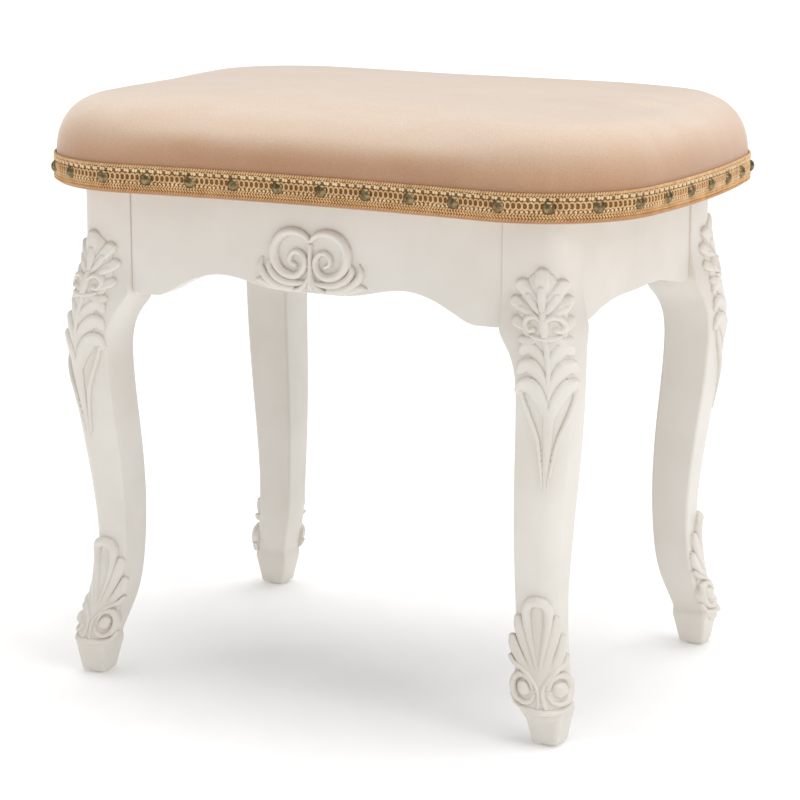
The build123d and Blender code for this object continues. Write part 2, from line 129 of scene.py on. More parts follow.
def quads(rows, columns, closed=False, first=0):
    """Faces of a sheet of rows by columns of points; closed joins its last column to its first."""
    wide = columns if closed else columns - 1
    return [(first + r * columns + c, first + r * columns + (c + 1) % columns,
             first + (r + 1) * columns + (c + 1) % columns, first + (r + 1) * columns + c)
            for r in range(rows - 1) for c in range(wide)]


def face_outwards(piece):
    """Turn every face of a closed piece outwards."""
    work = bmesh.new()
    work.from_mesh(piece.data)
    bmesh.ops.recalc_face_normals(work, faces=work.faces)
    work.to_mesh(piece.data)
    work.free()


print("a sheet of 3 by 3 points has", len(quads(3, 3)), "faces")


# %% [markdown]
# Colours are written as sRGB hex, as a paint card gives them, and turned to the linear values
# that light is added up in. A few functions add shader nodes and join them: a noise, a ramp of
# colours, a sum, and last the three links that every finish here needs.

# %% Colour and node tools
def linear(hex_colour):
    """An sRGB hex colour as linear RGBA."""
    parts = [int(hex_colour[i:i + 2], 16) / 255 for i in (1, 3, 5)]
    return tuple(p / 12.92 if p <= 0.04045 else ((p + 0.055) / 1.055) ** 2.4 for p in parts) + (1.0,)


def fill(tree, target, **sockets):
    """Give a node's inputs a value or a link: in_6 is input number 6, other keys are names."""
    for key, value in sockets.items():
        if key.startswith("in_"):
            socket = target.inputs[int(key[3:])]
        else:
            wanted = key.replace("_", " ").lower()
            socket = next(s for s in target.inputs if s.name.lower() == wanted and s.enabled)
        if isinstance(value, bpy.types.NodeSocket):
            tree.links.new(value, socket)
        else:
            socket.default_value = value


def node(tree, kind, settings=None, **sockets):
    """Add a node, set its properties and fill its inputs."""
    made = tree.nodes.new("ShaderNode" + kind)
    for key, value in (settings or {}).items():
        setattr(made, key, value)
    fill(tree, made, **sockets)
    return made


def new_material(name, **shader):
    """A material with its shader set; returns material, tree and the shader node."""
    material = bpy.data.materials.new(name)
    material.use_nodes = True
    tree = material.node_tree
    bsdf = tree.nodes["Principled BSDF"]
    fill(tree, bsdf, **shader)
    return material, tree, bsdf


def in_mm(tree, stretch=(1.0, 1.0, 1.0)):
    """Object coordinates in millimetres, so that a texture's scale is a real size."""
    place = node(tree, "TexCoord").outputs["Object"]
    scale = tuple(s / MM for s in stretch)
    return node(tree, "Mapping", Vector=place, Scale=scale).outputs["Vector"]


def noise(tree, scale, detail, stretch=(1.0, 1.0, 1.0), **more):
    """Noise whose scale is in waves per millimetre."""
    where = in_mm(tree, stretch)
    return node(tree, "TexNoise", Vector=where, Scale=scale, Detail=detail, **more).outputs["Fac"]


def blend_colours(tree, factor, stops):
    """Colour ramp through (position, hex) stops."""
    ramp = node(tree, "ValToRGB", Fac=factor)
    elements = ramp.color_ramp.elements
    while len(elements) < len(stops):
        elements.new(0.5)
    for element, (position, hex_colour) in zip(elements, stops):
        element.position = position
        element.color = linear(hex_colour)
    return ramp.outputs["Color"]


def reckon(tree, operation, **values):
    """The result of a sum or a product."""
    return node(tree, "Math", {"operation": operation}, **values).outputs[0]


def multiply_colours(tree, one, other):
    """One colour darkened by another."""
    both = node(tree, "Mix", {"data_type": "RGBA", "blend_type": "MULTIPLY"}, in_0=1.0, in_6=one,
                in_7=other)
    return both.outputs[2]


def dress(tree, bsdf, colour, rough, bump):
    """Link a colour, roughness as (factor, low, high) and bump as (height, most in mm, strength)."""
    factor, low, high = rough
    height, most, strength = bump
    fill(tree, bsdf, Base_Color=colour,
         Roughness=node(tree, "MapRange", Value=factor, To_Min=low, To_Max=high).outputs["Result"],
         Normal=node(tree, "Bump", Height=height, Distance=most * MM, Strength=strength).outputs["Normal"])


print("mid grey, #808080, is", round(linear("#808080")[0], 3), "in linear light")

# %% [markdown]
# The frame is beech, sprayed with a satin off-white lacquer. The eye sees a soft, wide highlight
# and a trace of sprayed texture about 1.5 mm across. The hollows of a carving are darkened to a
# warm grey, which is painted shade. Lacquer's IOR is about 1.5 and a satin film's roughness about 0.35.

# %% Satin lacquer
def make_lacquer():
    material, tree, bsdf = new_material("Satin_white_lacquer_sprayed_on_beech", IOR=1.5)
    mottle = noise(tree, 1 / 60, 3.0)
    peel = noise(tree, 1 / 1.5, 2.0)
    # Where pointiness is low, in the hollows of a carving, the colour is darkened: painted shade.
    hollow = node(tree, "NewGeometry").outputs["Pointiness"]
    depth = node(tree, "MapRange", Value=hollow, From_Min=0.38, From_Max=0.49).outputs["Result"]
    film = blend_colours(tree, mottle, [(0.3, "#E1DBD1"), (0.7, "#E9E4DC")])
    painted_hollow_shade = blend_colours(tree, depth, [(0.0, "#D3C6B4"), (1.0, "#FFFFFF")])
    dress(tree, bsdf, multiply_colours(tree, film, painted_hollow_shade), (peel, 0.30, 0.42), (peel, 0.04, 0.5))
    return material


LACQUER = make_lacquer()
print("made", LACQUER.name)


# %% [markdown]
# Bare beech, planed and left unfinished, has fine straight grain with short dark flecks about
# 2 mm long. Birch plywood shows its plies at a sawn edge. They are about 1.4 mm thick, and are
# drawn twice as thick here so that they show.

# %% Bare beech and birch plywood
def make_beech():
    material, tree, bsdf = new_material("Beech_planed_and_unfinished", IOR=1.5)
    grain = noise(tree, 0.35, 6.0, (0.05, 1.0, 1.0))
    fleck = noise(tree, 1.0, 2.0, (0.5, 2.5, 2.5))
    mixed = reckon(tree, "MULTIPLY", in_0=grain, in_1=fleck)
    colour = blend_colours(tree, mixed, [(0.12, "#A87B4F"), (0.4, "#CFA779")])
    dress(tree, bsdf, colour, (grain, 0.55, 0.7), (mixed, 0.08, 1.0))
    return material


def make_plywood():
    material, tree, bsdf = new_material("Birch_plywood_sanded", IOR=1.5)
    grain = noise(tree, 0.3, 6.0, (0.04, 1.0, 1.0))
    plies = node(tree, "TexWave", {"bands_direction": "Z"}, Vector=in_mm(tree), Scale=1 / 18)
    mixed = reckon(tree, "MULTIPLY_ADD", in_0=plies.outputs["Fac"], in_1=0.25, in_2=grain)
    colour = blend_colours(tree, mixed, [(0.35, "#B98F5E"), (0.85, "#E3C79C")])
    dress(tree, bsdf, colour, (grain, 0.5, 0.65), (grain, 0.06, 1.0))
    return material


BEECH = make_beech()
PLYWOOD = make_plywood()
print("made", BEECH.name, "and", PLYWOOD.name)


# %% [markdown]
# Velvet is a woven cloth with an upright cut pile. Its threads catch light at a grazing angle,
# so the rim of the seat glows while the face stays deeper. Sheen gives that glow. Hands leave
# brushed patches where the pile leans another way. The top is painted paler than the sides as
# painted light from above, so the colour follows the way the surface faces. Real pile is under
# 0.3 mm apart, too fine to show, so the pile here is drawn at about 0.8 mm.

# %% Velvet
# From the dark sides to the pale top: painted light from above, with the brushed patches between.
BRUSHED_AND_PAINTED_TOP_LIGHT_TONES = [(0.1, "#BB9173"), (0.3, "#CCA688"), (0.6, "#DFC5AE"), (0.8, "#EAD7C5"), (0.92, "#EEDFD1")]


def make_velvet():
    material, tree, bsdf = new_material(
        "Champagne_velvet_woven_with_a_cut_pile", IOR=1.45, Sheen_Weight=0.75, Sheen_Roughness=0.45,
        Sheen_Tint=linear("#FFF6EE"), Specular_IOR_Level=0.15)
    brushed = noise(tree, 1 / 85, 5.0, (1.0, 1.9, 1.0), Roughness=0.55, Distortion=0.6)
    pile = noise(tree, 1 / 0.8, 2.0)
    # The colour is paler where the surface faces up and darker on the sides: painted light from above,
    # added to the brushed patches.
    upward = node(tree, "SeparateXYZ", Vector=node(tree, "TexCoord").outputs["Normal"]).outputs["Z"]
    turned = node(tree, "MapRange", Value=upward, To_Max=0.7).outputs["Result"]
    brushed_and_painted_top_light = reckon(tree, "MULTIPLY_ADD", in_0=brushed, in_1=0.3, in_2=turned)
    colour = blend_colours(tree, brushed_and_painted_top_light, BRUSHED_AND_PAINTED_TOP_LIGHT_TONES)
    speck = blend_colours(tree, pile, [(0.3, "#EDE7E1"), (0.7, "#FFFFFF")])
    dress(tree, bsdf, multiply_colours(tree, colour, speck), (brushed, 0.75, 0.9), (pile, 0.12, 0.6))
    return material


VELVET = make_velvet()
print("made", VELVET.name)


# %% [markdown]
# Gimp is braided from twisted rayon yarn over a thin tape. Rayon shines softly along its threads.
# Cream, amber and gold yarns make it, and a brown tape shows through the gaps. Fibres are drawn
# at 0.4 mm, coarser than real ones.

# %% Braid yarns
def make_yarn(name, dark, light, sheen):
    material, tree, bsdf = new_material(name, IOR=1.46, Sheen_Weight=sheen, Sheen_Roughness=0.4)
    fibre = noise(tree, 1 / 0.4, 3.0)
    patch = noise(tree, 1 / 9, 2.0)
    mixed = reckon(tree, "MULTIPLY_ADD", in_0=patch, in_1=0.6, in_2=fibre)
    colour = blend_colours(tree, mixed, [(0.55, dark), (1.0, light)])
    dress(tree, bsdf, colour, (fibre, 0.45, 0.7), (fibre, 0.1, 1.0))
    return material


GOLD_YARN = make_yarn("Gold_rayon_yarn_twisted", "#B87D46", "#E6B273", 0.3)
CREAM_YARN = make_yarn("Cream_rayon_yarn_braided", "#D5AA6F", "#FAE3BC", 0.3)
AMBER_YARN = make_yarn("Amber_rayon_yarn_twisted", "#C8935A", "#F3CC97", 0.3)
TAPE = make_yarn("Brown_cotton_tape_woven", "#5F4624", "#8C6A3A", 0.1)
print("made", GOLD_YARN.name, CREAM_YARN.name, AMBER_YARN.name, TAPE.name)


# %% [markdown]
# The nails are pressed steel caps, brass plated and darkened with a patina that is rubbed back on
# the high spots. The eye sees a small bright highlight on an olive-brown dome. The hidden screws
# are steel with bright zinc plating. Both are metals, so their IOR is left alone.

# %% Metals
def make_metal(name, dark, light, rough_low, rough_high, grit_mm):
    material, tree, bsdf = new_material(name, Metallic=1.0)
    cloud = noise(tree, 1 / (grit_mm * 6), 4.0)
    grit = noise(tree, 1 / grit_mm, 2.0)
    colour = blend_colours(tree, cloud, [(0.35, dark), (0.65, light)])
    dress(tree, bsdf, colour, (cloud, rough_low, rough_high), (grit, 0.03, 0.5))
    return material


ANTIQUE_BRASS = make_metal("Antique_brass_pressed_and_patinated", "#66563A", "#9A8866", 0.24, 0.38, 0.5)
ZINC = make_metal("Steel_turned_and_zinc_plated", "#AEB2B6", "#CDD0D2", 0.28, 0.45, 0.4)
print("made", ANTIQUE_BRASS.name, "and", ZINC.name)


# %% [markdown]
# The dust cover is black spunbonded cloth: random fibres pressed together with small welded
# dimples about 1.5 mm apart. The glides are moulded nylon, milky and faintly glossy.

# %% Dust cloth and nylon
def make_dust_cloth():
    material, tree, bsdf = new_material("Black_spunbonded_dust_cloth", IOR=1.5)
    dimple = node(tree, "TexVoronoi", Vector=in_mm(tree), Scale=1 / 1.5).outputs["Distance"]
    fibre = noise(tree, 1.2, 3.0, (0.4, 1.6, 1.0))
    colour = blend_colours(tree, dimple, [(0.1, "#0F0F10"), (0.6, "#26262A")])
    dress(tree, bsdf, colour, (fibre, 0.7, 0.95), (dimple, 0.1, 1.0))
    return material


def make_nylon():
    material, tree, bsdf = new_material("Nylon_moulded_milky", IOR=1.53)
    haze = noise(tree, 1 / 4, 2.0)
    colour = blend_colours(tree, haze, [(0.3, "#D9D4C6"), (0.7, "#E8E4D8")])
    dress(tree, bsdf, colour, (haze, 0.4, 0.55), (haze, 0.03, 1.0))
    return material


DUST_CLOTH = make_dust_cloth()
NYLON = make_nylon()
print("made", DUST_CLOTH.name, "and", NYLON.name)

# %% [markdown]
# A cabriole leg is sawn from a square blank along the same curve from two sides, so every level
# cut through it is a square. The carver then rounds the corner that faces out, and eases the
# others. The leg here is built the same way: one rounded square for each height. Below the
# carving the foot is left as a plain tapered block with crisp corners.

# %% Leg sections
inner_at = fair_curve([(z, off) for off, z in INNER_CURVE], -0.1, -0.35)
outer_at = fair_curve([(z, off) for off, z in OUTER_CURVE], 0.6, 0.0)
EASED = 2.5                 # radius of the eased corners
ARRIS = 1.2                 # radius where the block meets a rail
SOLE_EASED = 0.95           # the sole is this much smaller, where sandpaper took its edge
STEPS = 7                   # points round each corner
RINGS = 130                 # sections up the leg
BLOCK_STARTS = 306.0        # the square block's own corners take over above this
BLOCK_BLEND = 12.0          # and are complete this much higher
FOOT_TOP = 30.0             # the plain foot tapers straight from here to the sole
FOOT_ROUND = 3.5            # radius of the outer corner of the plain foot, below the carving
FOOT_FLARE = 1.8            # how far the plain foot widens at its top
FLARE_AT_SOLE = 0.35        # and the share of that which is left at the sole


def corner_points(centre, radius, start, chamfered=0.0):
    """Points round one corner of a section, blended towards a flat chamfer."""
    turn = np.radians(start + np.linspace(0, 90, STEPS))
    arc = np.stack([centre[0] + radius * np.cos(turn), centre[1] + radius * np.sin(turn)], 1)
    straight = arc[0] + (arc[-1] - arc[0]) * np.linspace(0, 1, STEPS)[:, None]
    return arc * (1 - chamfered) + straight * chamfered


def leg_section(z):
    """One level cut through a leg, for the quarter where x and y are positive."""
    low = inner_at(z) if z < INNER_CURVE[0][1] else 0.0
    high = outer_at(z) if z < OUTER_CURVE[0][1] else BLOCK
    block = float(np.clip((z - BLOCK_STARTS) / BLOCK_BLEND, 0, 1))
    side = EASED + (ARRIS - EASED) * block
    inside = EASED + (CHAMFER - EASED) * block
    if z < FOOT_TOP:
        down = (FOOT_TOP - z) / (FOOT_TOP - SOLE)
        low = inner_at(FOOT_TOP) * (1 - down) + inner_at(SOLE) * down
        high = outer_at(FOOT_TOP) * (1 - down) + outer_at(SOLE) * down
    foot = float(np.clip((FOOT_TOP + 2 - z) / 4, 0, 1))
    flare = FOOT_FLARE * foot * (FLARE_AT_SOLE + (1 - FLARE_AT_SOLE) * (z - SOLE) / (FOOT_TOP - SOLE))
    x0, x1 = INNER_X + low - flare, INNER_X + high + flare
    y0, y1 = INNER_Y + low - flare, INNER_Y + high + flare
    turned = CORNER_ROUND + (FOOT_ROUND - CORNER_ROUND) * foot
    outer = corner_points((x1 - turned, y1 - turned), turned, 0)
    left = corner_points((x0 + side, y1 - side), side, 90)
    inmost = corner_points((x0 + inside, y0 + inside), inside, 180, block)
    right = corner_points((x1 - side, y0 + side), side, 270)
    return np.concatenate([outer, left, inmost, right])


def make_leg(name, sx, sy):
    heights = np.concatenate([[SOLE, SOLE + 1.0], np.linspace(SOLE + 3, RAIL_TOP, RINGS)])
    rings = []
    for z in heights:
        ring = leg_section(z)
        if z == SOLE:
            middle = ring.mean(0)
            ring = middle + (ring - middle) * SOLE_EASED
        rings.append(np.column_stack([ring * (sx, sy), np.full(len(ring), z)]))
    count = len(rings[0])
    faces = quads(len(heights), count, closed=True)
    faces += [tuple(range(count)), tuple(range(len(heights) * count - count, len(heights) * count))]
    leg = make_piece("painted_leg_" + name, np.concatenate(rings), faces, LACQUER)
    face_outwards(leg)
    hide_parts("leg_" + name)


for name, (sx, sy) in CORNERS.items():
    make_leg(name, sx, sy)
print("legs: 4, each", RAIL_TOP - SOLE, "mm tall")

# %% [markdown]
# A rail is a flat board with a scalloped lower edge. Half the edge is drawn and mirrored, the
# outline is given its thickness, and a small bevel eases the edges as sandpaper would.

# %% Rails
FRONT_EDGE = [(0, 331), (38, 332), (78, 339), (104, 334), (124, 324), (140, LOBE_Z)]
END_EDGE = [(0, 327), (40, 327), (66, 324), (84, 320), (96, LOBE_Z)]
LOBE_ROUND = 5.0
RAIL_EASE = 0.9


def make_rail(name, edge, half_long, face_at, along_x, sign):
    curve = fair_curve(edge, 0.0, 0.0)
    xs = np.linspace(0, edge[-1][0], 46)
    half = [(x, float(curve(x))) for x in xs]
    for turn in np.radians(np.linspace(-90, 0, 6)):
        half.append((half_long - LOBE_ROUND + LOBE_ROUND * cos(turn),
                     LOBE_Z + LOBE_ROUND + LOBE_ROUND * sin(turn)))
    half.append((half_long, RAIL_TOP))
    outline = half + [(-x, z) for x, z in reversed(half[1:])]
    points = []
    for depth in (face_at, face_at - RAIL_THICK):
        for u, z in outline:
            points.append((u, sign * depth, z) if along_x else (sign * depth, u, z))
    count = len(outline)
    faces = [(i, (i + 1) % count, count + (i + 1) % count, count + i) for i in range(count)]
    faces += [tuple(range(count)), tuple(range(count, 2 * count))]
    rail = make_piece("painted_" + name, points, faces, LACQUER)
    face_outwards(rail)
    bevel = rail.modifiers.new("eased_edges", "BEVEL")
    bevel.width = RAIL_EASE * MM
    bevel.segments = 3
    bevel.limit_method = "ANGLE"
    bevel.angle_limit = radians(50)
    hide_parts(name)


make_rail("apron_front", FRONT_EDGE, INNER_X, RAIL_FACE_Y, True, -1)
make_rail("apron_back", FRONT_EDGE, INNER_X, RAIL_FACE_Y, True, 1)
make_rail("apron_right", END_EDGE, INNER_Y, RAIL_FACE_X, False, 1)
make_rail("apron_left", END_EDGE, INNER_Y, RAIL_FACE_X, False, -1)
print("rails: 4")


# %% [markdown]
# Carving is made as relief: a height over a flat or curved ground. Every leaf, rib and curl is a
# stroke, a line with a width and a height along it, as one pass of a gouge leaves it. A stroke can
# be round like a rib, cupped like a petal, or tilted like a leaf that lies over the next one.
# Where strokes meet, the higher one wins, which leaves the crisp valleys of real carving.
# Sculpting by hand could do it too, but strokes are exact, and the same ones serve all four legs.

# %% Relief strokes
POINTS_PER_MM = 3.5         # on average along a stroke
CUP_WIDTH = 0.55            # how wide a cup is, as a share of the stroke's half width


def smooth_line(points):
    """A smooth line (Catmull-Rom) through points of any number of values."""
    given = np.array(points, float)
    count = int(np.hypot(*np.diff(given[:, :2], axis=0).T).sum() * POINTS_PER_MM) + 8
    padded = np.vstack([2 * given[0] - given[1], given, 2 * given[-1] - given[-2]])
    spans = len(given) - 1
    place = np.linspace(0, spans - 1e-6, count)
    i = place.astype(int)
    u = (place - i)[:, None]
    a, b, c, d = padded[i], padded[i + 1], padded[i + 2], padded[i + 3]
    return 0.5 * (2 * b + (c - a) * u + (2 * a - 5 * b + 4 * c - d) * u ** 2
                  + (3 * b - a - 3 * c + d) * u ** 3)


def stroke(t, z, points, cup=0.0, tilt=0.0):
    """Height of one stroke over the ground. Its points are (t, z, half width, height). A tilted
    stroke is full height on the left of its path and falls away on the right."""
    line = smooth_line(points)
    ahead = np.gradient(line[:, :2], axis=0)
    ahead /= np.hypot(*ahead.T)[:, None]
    height = np.full(t.shape, -1.0)
    for (lt, lz, wide, tall), (dt, dz) in zip(line, ahead):
        part = np.hypot(t - lt, z - lz) / wide
        inside = part < 1
        profile = np.sqrt(np.clip(1 - part ** 2, 0, 1))
        profile *= 1 - cup * np.exp(-(part / CUP_WIDTH) ** 2)
        leftward = ((z - lz) * dt - (t - lt) * dz) / wide
        profile *= 1 - tilt * (1 - leftward) / 2
        height[inside] = np.maximum(height[inside], (tall * profile)[inside])
    return height


def relief(t, z, strokes):
    """The highest of all strokes; both sides are carved from the same list."""
    side = np.abs(t)
    total = np.full(t.shape, -1.0)
    for points, *shape in strokes:
        total = np.maximum(total, stroke(side, z, points, *shape))
    return total


def relief_shell(height, top, bottom):
    """Closed shell of the cells where something is carved, with a wall round its edge."""
    rows, columns = height.shape
    carved = height > 0
    cell = carved[:-1, :-1] & carved[1:, :-1] & carved[:-1, 1:] & carved[1:, 1:]
    used = np.zeros(height.shape, bool)
    for dr, dc in ((0, 0), (1, 0), (0, 1), (1, 1)):
        used[dr:rows - 1 + dr, dc:columns - 1 + dc] |= cell
    index = np.full(height.shape, -1)
    index[used] = np.arange(used.sum())
    count = int(used.sum())
    points = np.concatenate([top[used], bottom[used]])
    faces, edges = [], {}
    for r, c in zip(*np.nonzero(cell)):
        loop = (index[r, c], index[r, c + 1], index[r + 1, c + 1], index[r + 1, c])
        faces.append(tuple(int(i) for i in loop))
        faces.append(tuple(int(i) + count for i in reversed(loop)))
        for a, b in zip(loop, loop[1:] + loop[:1]):
            if (b, a) in edges:
                del edges[(b, a)]
            else:
                edges[(a, b)] = True
    faces += [(int(b), int(a), int(a) + count, int(b) + count) for a, b in edges]
    return points, faces


print("a straight stroke of 10 mm has", len(smooth_line([(0, 0), (10, 0)])), "points")

# %% [markdown]
# The knee carries a spray: a fan of lobed leaves at the top, a pair of curls under it, three
# pairs of leaves that meet in a V, and a long tail. Strokes are given in millimetres, as seen
# straight on, and for one side, because the other side mirrors it. Each is its points, then how
# deeply it is cupped and how far it is tilted, where it is.

# %% Strokes of the knee
KNEE_STROKES = [
    # the mass of the spray, and of the leaves under it
    ([(0, 360, 6.0, 2.4), (0, 350, 13.0, 3.2), (0, 338, 17.0, 3.8), (0, 326, 18.0, 3.8),
      (0, 316, 13.0, 3.2)],),
    ([(0, 308, 11.0, 1.7), (0, 292, 12.0, 1.8), (0, 276, 11.0, 1.8), (0, 264, 8.0, 1.7),
      (0, 256, 4.0, 1.5)],),
    # lobes of the fan, each with a groove down its middle
    ([(0, 348, 4.4, 5.2), (0, 356, 5.6, 5.6), (0, 361.8, 5.2, 5.0)], 0.3),
    ([(3, 341, 3.0, 5.2), (9, 347.5, 4.8, 5.8), (13.8, 353.2, 5.2, 5.2)], 0.35),
    ([(5, 331, 3.0, 5.2), (12, 336, 4.6, 5.8), (18.2, 340.5, 5.0, 5.0)], 0.35),
    ([(6, 321, 2.8, 4.8), (12, 323, 4.2, 5.4), (18.6, 326.0, 4.6, 4.6)], 0.35),
    ([(7, 314.5, 2.4, 4.4), (12, 312.5, 3.6, 4.6), (16.6, 313.2, 3.2, 3.8)], 0.25),
    # smaller lobes that lie over them
    ([(0, 336, 2.6, 6.4), (0, 346, 3.4, 7.0), (0, 351, 3.0, 6.4)], 0.15),
    ([(2.5, 334, 2.2, 6.0), (6.0, 340, 3.2, 6.8), (8.8, 345.5, 3.0, 6.4)], 0.2),
    ([(4, 330, 2.2, 6.0), (9.5, 333.5, 3.0, 6.6), (13.8, 336.4, 2.8, 6.2)], 0.2),
    # the pair of curls and the boss between them
    ([(0, 333, 2.8, 6.4), (0, 325, 3.6, 7.4), (0, 318, 2.8, 6.6)],),
    ([(1.2, 328, 2.2, 6.6), (5.5, 331.0, 2.7, 7.2), (10.4, 329.4, 2.8, 7.0), (12.6, 324.8, 2.4, 6.4),
      (10.4, 320.8, 2.3, 6.0), (7.0, 321.6, 2.5, 6.4)],),
    ([(0, 315.4, 2.6, 5.6), (5, 315.6, 2.4, 5.2), (9.5, 317.0, 1.8, 4.6)],),
    # the stem
    ([(0, 316, 2.6, 4.8), (0, 300, 2.3, 4.2), (0, 285, 1.9, 3.4), (0, 272, 1.5, 2.8)],),
    # three pairs of leaves, high on their upper edge and falling away below it
    ([(0.9, 287, 1.8, 3.0), (3.8, 298.5, 4.2, 4.8), (9.0, 306.0, 5.4, 5.6), (14.2, 307.5, 4.8, 5.2),
      (17.6, 304.0, 3.0, 3.8)], 0.15, 0.8),
    ([(0.9, 271, 2.0, 3.0), (4.6, 284.0, 4.6, 5.0), (10.4, 293.0, 6.0, 6.0), (16.0, 294.5, 5.2, 5.4),
      (19.8, 290.5, 3.2, 3.8)], 0.15, 0.8),
    ([(1.0, 253, 2.2, 3.0), (5.2, 267.5, 5.0, 5.0), (11.2, 278.0, 6.6, 6.2), (17.2, 280.0, 5.6, 5.6),
      (21.2, 275.5, 3.4, 4.0)], 0.15, 0.8),
    # the long tail
    ([(19.8, 275, 1.4, 2.6), (16.5, 264, 1.9, 3.0), (11.5, 251, 2.1, 3.0), (7, 238, 1.9, 2.6),
      (4.3, 221, 1.5, 2.1), (2.2, 203, 1.0, 1.4)],),
    ([(0, 262, 4.2, 2.8), (0, 245, 4.0, 1.9), (0, 222, 2.8, 1.3), (0, 200, 1.3, 0.9)],),
]
print("strokes of the knee:", len(KNEE_STROKES))

# %% [markdown]
# The foot has a shell at its top with a rolled edge and a long hollow, broad leaves that fall to
# a V, a scroll round a ball on each side, and a lip where the carving ends.

# %% Strokes of the foot
FOOT_STROKES = [
    # the mass of the shell, the leaves and the scrolls
    ([(0, 104, 6.0, 1.2), (0, 92, 9.5, 1.8), (0, 78, 12.5, 2.6), (0, 64, 15.5, 3.6),
      (0, 50, 19.5, 4.8), (0, 40, 20.5, 5.0), (0, 33, 17.0, 4.8)],),
    # shell: a rolled top edge that runs down each side of a long hollow
    ([(0, 110.5, 4.2, 6.4), (4.4, 109.4, 4.0, 6.2), (7.4, 104.4, 3.6, 5.6), (7.2, 95, 3.3, 5.2),
      (5.6, 84, 2.9, 4.9), (3.4, 73, 2.4, 4.8), (1.0, 61, 2.0, 5.0)],),
    # two broad leaves each side
    ([(13.6, 96.5, 3.0, 4.2), (12.4, 89.5, 4.4, 5.2), (8.8, 76, 4.0, 5.2), (4.0, 61, 2.6, 5.2)], 0.2),
    ([(18.0, 81, 3.0, 4.2), (16.4, 74, 4.4, 5.4), (11.4, 63, 3.8, 5.6), (5.0, 52.5, 2.4, 5.8)], 0.2),
    # a rib that ends each side of the leaves over the scroll
    ([(20.0, 67, 1.8, 4.6), (16.5, 62.5, 2.4, 6.2), (10.8, 59.0, 2.4, 6.8), (5.0, 52.5, 2.2, 6.8),
      (1.5, 45, 1.9, 6.6), (1.4, 38, 1.9, 6.4), (2.4, 32, 1.8, 6.4)],),
    # the scrolls, each round a ball
    ([(11.4, 46.5, 5.4, 8.6), (11.4, 44.5, 5.4, 8.6)],),
    ([(4.6, 46.5, 2.2, 6.8), (7.4, 53.2, 2.6, 7.2), (12.6, 55.2, 2.8, 7.4), (17.6, 52.0, 2.9, 7.0),
      (19.6, 45.2, 2.9, 6.6), (17.6, 38.2, 2.7, 6.6), (12.2, 35.0, 2.5, 6.8), (7.0, 36.6, 2.2, 6.8),
      (4.4, 41.0, 1.9, 6.6)],),
    # the lip that ends the carving above the plain foot
    ([(0, 29.0, 2.8, 8.4), (6, 29.0, 2.8, 7.4), (13, 30.5, 2.6, 5.4), (18.5, 33.0, 2.3, 4.2),
      (21.5, 39, 1.8, 3.2)],),
]
print("strokes of the foot:", len(FOOT_STROKES))


# %% [markdown]
# The strokes are laid on the leg's own surface. Distance along the leg's skin is measured from
# the middle of the round corner: first round the arc, then along the flat face beside it.

# %% Wrap a carving on a leg
ARC_HALF = CORNER_ROUND * pi / 4
FRONT_CENTRE = 9.5          # the front carvings' centre line, along the skin towards the front
FRONT_FACING = radians(60)  # and the direction they face; the back ones face the diagonal
BURIED = 1.2                # how far a carving's back sits inside the leg, as glue would hold it


def skin(t, lift=0.0):
    """A point of a level cut's skin, from the round corner's centre, at distance t along it."""
    turn = pi / 4 + np.clip(t, -ARC_HALF, ARC_HALF) / CORNER_ROUND
    beyond = np.maximum(np.abs(t) - ARC_HALF, 0)
    x = (CORNER_ROUND + lift) * np.cos(turn) - np.where(t > 0, beyond, 0)
    y = (CORNER_ROUND + lift) * np.sin(turn) - np.where(t < 0, beyond, 0)
    return x, y


def seen_offset(t, centre, facing):
    """How far off its centre line a point of a carving looks, seen from the facing angle."""
    x, y = skin(t)
    x0, y0 = skin(np.array(centre))
    return (y - y0) * cos(facing) - (x - x0) * sin(facing)


def on_corner(t, z, lift):
    """Point on a leg's outer corner, lifted off it, for the quarter where x and y are positive."""
    reach = np.where(z < OUTER_CURVE[0][1], outer_at(z), BLOCK)
    cx = INNER_X + reach - CORNER_ROUND
    cy = INNER_Y + reach - CORNER_ROUND
    x, y = skin(t, lift)
    return np.stack([cx + x, cy + y, z], -1)


def make_leg_carving(name, strokes, corner, low, high, half_skin, cell):
    sx, sy = CORNERS[corner]
    z, t = np.meshgrid(np.arange(low, high, cell), np.arange(-half_skin, half_skin + cell, cell),
                       indexing="ij")
    centre, facing = (FRONT_CENTRE, FRONT_FACING) if sy < 0 else (0.0, pi / 4)
    t = t + centre
    height = relief(seen_offset(t, centre, facing), z, strokes)
    mirror = np.array([sx, sy, 1])
    top = on_corner(t, z, np.maximum(height, 0)) * mirror
    bottom = on_corner(t, z, np.full(t.shape, -BURIED)) * mirror
    points, faces = relief_shell(height, top, bottom)
    piece = make_piece(f"carved_{name}_{corner}", points, faces, LACQUER, 75.0)
    face_outwards(piece)
    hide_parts(f"{name}_carving_{corner}")
    return len(faces)


FINE = 0.55      # size of a carving's cells
for corner in CORNERS:
    knee = make_leg_carving("knee", KNEE_STROKES, corner, 197, 369, 34, FINE)
    foot = make_leg_carving("foot", FOOT_STROKES, corner, 22, 117, 32, FINE)
print("leg carvings: 8;", knee, "faces on a knee,", foot, "on a foot")

# %% [markdown]
# The ornament on the front rail is a pair of scrolls back to back, like an open heart, with long
# fronds under them and a small fan at the rail's edge. It is the same relief, on a flat ground.

